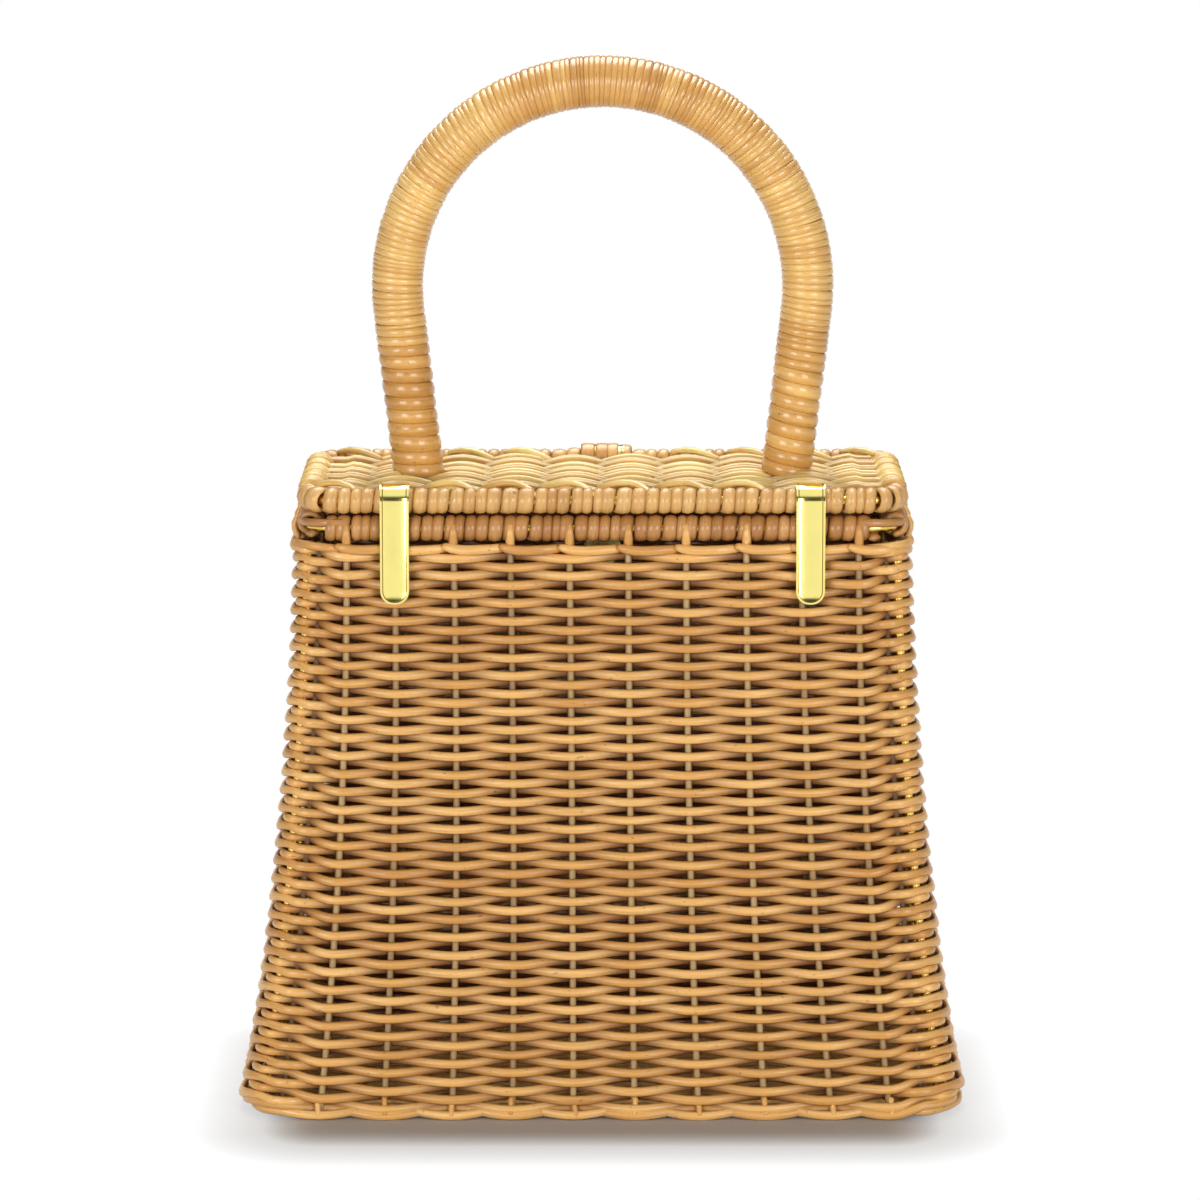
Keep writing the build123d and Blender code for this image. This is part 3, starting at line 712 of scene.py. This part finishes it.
def lid_panel():
    """Woven top of the lid."""
    canes = Canes()
    middle = LID_TOP - 3.1
    for row in range(LID_ROWS):
        y0 = (row + 0.5 - LID_ROWS / 2) * 2 * LID_Y / LID_ROWS
        x = np.linspace(-LID_X + 0.6, LID_X - 0.6, 78)
        phase = np.interp(x, LID_POSTS, np.arange(10.0), left=-0.3, right=9.3)
        over = np.cos(pi * (phase + row // 2))
        y = y0 + clear_of_hooks(x, y0) + chance.normal(0, 0.12) - 0.25 * over
        z = middle + 1.85 * over + chance.normal(0, 0.15)
        # Canes passing under get more painted shade in the finish.
        depth = np.clip(0.5 - 0.5 * over, 0, 1) ** 1.5 * 0.8
        path, outward = np.column_stack([x, y, z]), np.tile([0.0, 0.0, 1.0], (len(x), 1))
        if abs(y0) < RIM_Y - RIM_CORNER - 1.0:
            turn = np.radians([150.0, 130.0, 110.0, 92.0, 76.0, 60.0, 44.0])
            ray = np.column_stack([np.cos(turn), 0 * turn, np.sin(turn)])
            swell = RIM_RADIUS + (0.4 if row // 2 % 2 else 0.0) - np.linspace(0.0, 0.9, 7)[:, None]
            over_rim = np.array([RIM_X, 0, LID_RIM_Z]) + ray * swell + np.array([0, 1.0, 0]) * y[-1]
            mirror = np.array([-1.0, 1.0, 1.0])
            path = np.vstack([(over_rim * mirror)[::-1], path, over_rim])
            outward = np.vstack([(ray * mirror)[::-1], outward, ray])
            depth = np.concatenate([np.zeros(7), depth, np.zeros(7)])
        wide = np.interp(np.abs(path[:, 0]), [LID_X - 2.0, LID_X + 2.0], [1.36, 1.12])
        canes.lay(path, outward, LID_CANE, wide, depth=depth)
    for x in LID_POSTS:
        y = np.linspace(-LID_Y + 2.6, LID_Y - 2.6, 12)
        path = np.column_stack([np.full_like(y, x), y, np.full_like(y, middle)])
        canes.lay(path, (0, 0, 1), 0.85, 1.0, depth=0.2)
    return canes.piece("lid_panel", "lid", "lid_weave", lit_lid_cane)


def lid_leaves():
    """Cane ends that arch over the edge of the lid and dive between the turns of its rim."""
    canes = Canes()
    for sy in (-1, 1):
        for x0 in LID_POSTS:
            start = sy * x0 - 10.0
            hook = np.array([-HINGE_X, HINGE_X]) if sy < 0 else np.array([0.0])
            x = start + np.array([0.0, 3.0, 6.5, 10.0, 13.0, 15.0, 16.2])
            if np.any((hook > x[0] - 8.0) & (hook < x[-1] + 8.0)):
                continue
            y = np.array([-29.5, -31.0, -32.7, -34.2, -36.0, -38.2, -40.6])
            z = np.array([198.4, 199.7, 200.7, 200.9, 200.2, 199.3, 197.9])
            z = z + chance.normal(0, 0.05) - (0.5 if sy > 0 else 0.0)
            turned = np.column_stack([x * -sy, -sy * y, z])
            thick = np.array([1.15, 1.15, 1.15, 1.1, 0.85, 0.7, 0.7])
            canes.lay(turned, (0, 0, 1), thick, np.array([1.1, 1.35, 1.5, 1.5, 1.4, 1.2, 1.0]))
    return canes.piece("lid_leaves", "lid", "lid_rim_wrap", lit_lid_cane)


def handle_axis(reach):
    """Place, upward cross direction and heading along the handle, from its left foot."""
    foot = LID_TOP - 2.6
    side_x, side_z = ARCH_RADIUS * cos(HANDLE_LEAN), ARCH_Z - ARCH_RADIUS * sin(HANDLE_LEAN)
    leg = (side_z - foot) / cos(HANDLE_LEAN)
    sweep = ARCH_RADIUS * (pi + 2 * HANDLE_LEAN)
    whole = 2 * leg + sweep
    reach = np.asarray(reach, float)
    angle = pi + HANDLE_LEAN - np.clip(reach - leg, 0, sweep) / ARCH_RADIUS
    place = np.column_stack([ARCH_RADIUS * np.cos(angle), 0 * reach, ARCH_Z + ARCH_RADIUS * np.sin(angle)])
    back = np.clip(leg - reach, 0, None)
    on = np.clip(reach - leg - sweep, 0, None)
    place += back[:, None] * np.array([sin(HANDLE_LEAN), 0, -cos(HANDLE_LEAN)])
    place += on[:, None] * np.array([-sin(HANDLE_LEAN), 0, -cos(HANDLE_LEAN)])
    out = np.column_stack([np.cos(angle), 0 * reach, np.sin(angle)])
    return place, out, whole


def handle_coil():
    """Cane strip coiled round the handle, broad at the feet and fine over the arch."""
    canes = Canes()
    whole = handle_axis(np.zeros(1))[2]
    widths, reach = [], 0.0
    while reach < whole:
        near = min(reach, whole - reach)
        broad = np.clip((52.0 - near) / 22.0, 0, 1)
        width = (1.8 + 2.6 * broad) * (1 + np.clip(chance.normal(0, 0.27 - 0.21 * broad), -0.45, 0.6))
        widths.append(width)
        reach += width
    widths = np.array(widths) * whole / reach
    turns, steps = len(widths), 16
    marks = np.concatenate([[0], np.cumsum(widths)])
    turn = np.arange(turns * steps + 1) / steps
    spot = np.interp(turn, np.arange(turns + 1), marks)
    wide = np.interp(turn, np.arange(turns) + 0.5, widths) / 2
    place, out, _ = handle_axis(spot)
    side = np.array([0.0, 1.0, 0.0])
    angle = 2 * pi * turn + pi / 2
    ray = out * np.cos(angle)[:, None] + side * np.sin(angle)[:, None]
    thick = 0.45 + 0.6 * np.clip((wide - 1.0) / 1.1, 0, 1)
    swell = np.interp(turn, np.arange(turns + 1), chance.normal(-0.08, 0.07, turns + 1).clip(-0.25, 0.05))
    path = place + ray * (HANDLE_RADIUS - thick + swell)[:, None]
    arch = (np.abs(place[:, 2] - LID_TOP) > 50.0).astype(float)
    wide = wide * (1.1 + 0.1 * arch * np.cos(angle))
    first = 0
    while first < turns:
        last = min(first + int(chance.integers(2, 7)), turns)
        part = slice(first * steps, last * steps + 1)
        x, _, z = place[first * steps]
        # Painted light: turns on the upper sides of the arch get a paler tint, for the stronger light on
        # them.
        lit_shoulder = np.clip((z - LID_TOP - 20.0) / 45.0, 0, 1) * np.clip((abs(x) - 12.0) / 34.0, 0, 1)
        tint = 0.55 * chance.random() + 0.6 * lit_shoulder
        canes.lay(path[part], ray[part], thick[part], wide[part], tint=tint)
        first = last
    return canes.piece("handle_coil", "lid", "handle_wrap", grip_cane)


def deselect():
    """Leave nothing selected."""
    bpy.ops.object.select_all(action="DESELECT")


def strap(name, node, body, side_y, x, lean, width, leg, wrap=215.0):
    """Brass strap: a leg with a rounded tip, bent over the lid's rim."""
    deselect()
    tilt = radians(lean)
    bpy.ops.mesh.primitive_plane_add(size=1.0)
    thing = bpy.context.object
    thing.name = thing.data.name = name
    thing.scale = (width * MM, leg * MM, 1.0)
    bpy.ops.object.transform_apply(location=False, rotation=False, scale=True)
    bpy.ops.object.mode_set(mode="EDIT")
    bpy.ops.mesh.select_mode(type="VERT")
    bpy.ops.mesh.select_all(action="SELECT")
    bpy.ops.transform.translate(value=(0, leg / 2 * MM, 0))
    bpy.ops.mesh.select_all(action="DESELECT")
    bpy.ops.object.mode_set(mode="OBJECT")
    for vertex in thing.data.vertices:
        vertex.select = vertex.co.y > leg / 2 * MM
    bpy.ops.object.mode_set(mode="EDIT")
    bpy.ops.mesh.bevel(affect="VERTICES", offset=width * 0.46 * MM, segments=8)
    bpy.ops.mesh.select_all(action="DESELECT")
    bpy.ops.mesh.select_mode(type="EDGE")
    bpy.ops.object.mode_set(mode="OBJECT")
    for edge in thing.data.edges:
        edge.select = all(abs(thing.data.vertices[spot].co.y) < 1e-6 for spot in edge.vertices)
    bpy.ops.object.mode_set(mode="EDIT")
    bpy.ops.mesh.spin(
        steps=26, angle=radians(wrap), center=(0, 0, -HOOK_RADIUS * MM), axis=(-1, 0, 0), use_auto_merge=False
    )
    bpy.ops.mesh.select_all(action="SELECT")
    bpy.ops.mesh.remove_doubles(threshold=1e-6)
    bpy.ops.mesh.select_mode(type="FACE")
    bpy.ops.mesh.select_all(action="SELECT")
    for finish in (brass, groove_shade_brass):
        thing.data.materials.append(finish)
    # The thin ring between the two insets takes the dark groove brass as painted shade.
    bpy.ops.mesh.inset(thickness=0.5 * MM, depth=0.0)
    thing.active_material_index = 1
    bpy.ops.object.material_slot_assign()
    bpy.ops.mesh.inset(thickness=0.3 * MM, depth=-0.1 * MM)
    thing.active_material_index = 0
    bpy.ops.object.material_slot_assign()
    bpy.ops.object.mode_set(mode="OBJECT")
    skin = thing.modifiers.new("plate", "SOLIDIFY")
    skin.thickness, skin.offset = STRAP_THICKNESS * MM, 1.0
    edge = thing.modifiers.new("edges", "BEVEL")
    edge.width, edge.segments, edge.limit_method, edge.angle_limit = 0.28 * MM, 3, "ANGLE", radians(70)
    for step in ("plate", "edges"):
        bpy.ops.object.modifier_apply(modifier=step)
    outward = Vector((0, side_y * cos(tilt), sin(tilt)))
    down = Vector((0, side_y * sin(tilt), -cos(tilt)))
    place = Vector((x, side_y * RIM_Y, LID_RIM_Z)) + outward * HOOK_RADIUS
    turn = Matrix((down.cross(outward), down, outward)).transposed().to_4x4()
    thing.data.transform(Matrix.Translation(place * MM) @ turn)
    bpy.ops.object.shade_smooth_by_angle(angle=radians(35))
    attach(thing, body)
    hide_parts(node)
    return thing


# Weave and bindings
wall_rows("wall_weave_low", 1, 32, "body_weave")
wall_rows("wall_weave_high", 32, ROWS - 1, "body_weave")
wall_stakes()
bottom_border()
bag_floor()
body_rim()
rim_pegs()
lid_rim()
lid_panel()
lid_leaves()
handle_coil()
strap("left_strap", "hinge_strap_left", "body", -1, -HINGE_X, 2.5, 9.0, 32.0)
strap("right_strap", "hinge_strap_right", "body", -1, HINGE_X, 2.5, 9.0, 32.0)
strap("tab", "clasp_tab", "lid", 1, 0.0, 7.0, 14.0, 34.0)

# Fittings that keep their solids
for node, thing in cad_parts.items():
    finish = brass
    if "wire" in node or "posts" in node:
        finish = wire_brass
    if node == "handle_core":
        finish = rod_wood
    thing.data.materials.clear()
    thing.data.materials.append(finish)

# Floor, light and camera
deselect()
bpy.ops.mesh.primitive_plane_add(size=40.0)
floor = bpy.context.object
floor.name = "studio_floor"
paper = new_finish("white_paper_painted_shadow")
seen = paper.most(paper.most(paper.ray("Camera"), paper.ray("Glossy")), paper.ray("Transmission"))
ground = paper.node("ShaderNodeTexCoord", None, None, 3)
# Painted shadow: inside a box shifted to the front of the bag, the camera sees the floor's grey matte instead
# of the white glow, fading to white outward.
reach = []
for axis, centre, half in (("X", 0.0, 0.088), ("Y", -0.014, 0.05)):
    offset = paper.node("ShaderNodeSeparateXYZ", None, {0: ground}, axis) - centre
    reach.append(paper.most(paper.size_of(offset) - half, 0.0))
far = (reach[0] * reach[0] + reach[1] * reach[1]) ** 0.5
bare = paper.ramp((far * 25.0) ** 2.0, (0.0, 0.0), (0.22, 0.55), (1.0, 1.0))
# The grey matte is darker than a white floor, to paint a deeper shadow near the bag.
matte = paper.node("ShaderNodeBsdfDiffuse", None, {"Color": (0.5, 0.47, 0.43, 1)})
glow = paper.node("ShaderNodeEmission", None, {"Color": (1, 1, 1, 1), "Strength": 1.0})
paper.cover(paper.blend(seen * bare, matte, glow))
floor.data.materials.append(paper.owner)

scene = bpy.context.scene
scene.view_settings.view_transform = "Standard"
world = bpy.data.worlds.new("white_room")
scene.world = world
air = Finish(world)
white = (1, 1, 1, 1)
room = air.node("ShaderNodeBackground", None, {"Color": white, "Strength": 0.11})
backdrop = air.node("ShaderNodeBackground", None, {"Color": white, "Strength": 1.0})
sky = air.node("ShaderNodeTexCoord", None, None, "Generated")
height = air.node("ShaderNodeSeparateXYZ", None, {0: sky}, "Z")
shade = air.ramp(height, (0.1, 1.0), (0.16, 0.04), (0.5, 0.1), (0.7, 1.0))
mirror = air.node("ShaderNodeBackground", None, {"Color": shade})
gloss = air.blend(air.ray("Glossy"), room, mirror)
plain = air.most(air.ray("Camera"), air.ray("Transmission"))
air.cover(air.blend(plain, gloss, backdrop), "ShaderNodeOutputWorld")


def softbox(name, place, aim, size, power):
    """A square lamp pointed at a spot."""
    lamp = bpy.data.lights.new(name, "AREA")
    lamp.shape, lamp.size, lamp.energy = "SQUARE", size, power
    thing = bpy.data.objects.new(name, lamp)
    bpy.context.collection.objects.link(thing)
    thing.location = place
    thing.rotation_euler = (Vector(aim) - Vector(place)).to_track_quat("-Z", "Y").to_euler()


softbox("top_lamp", (0.0, 0.48, 1.15), (0, 0, 0.15), 0.85, 15.5)
softbox("left_lamp", (-0.9, -1.45, 0.46), (0, 0, 0.12), 0.75, 16.4)
softbox("right_lamp", (0.9, -1.45, 0.46), (0, 0, 0.12), 0.75, 15.4)

lens = bpy.data.cameras.new("camera")
camera = bpy.data.objects.new("camera", lens)
bpy.context.collection.objects.link(camera)
lens.sensor_width = 36.0
lens.lens = 5400.0 / 1200.0 * 36.0
camera.location = (0.0, -1.7, 0.475)
camera.rotation_euler = (radians(90.0 - 10.62), 0, 0)
lens.shift_x, lens.shift_y = -2.6 / 1200.0, 3.0 / 1200.0
scene.camera = camera
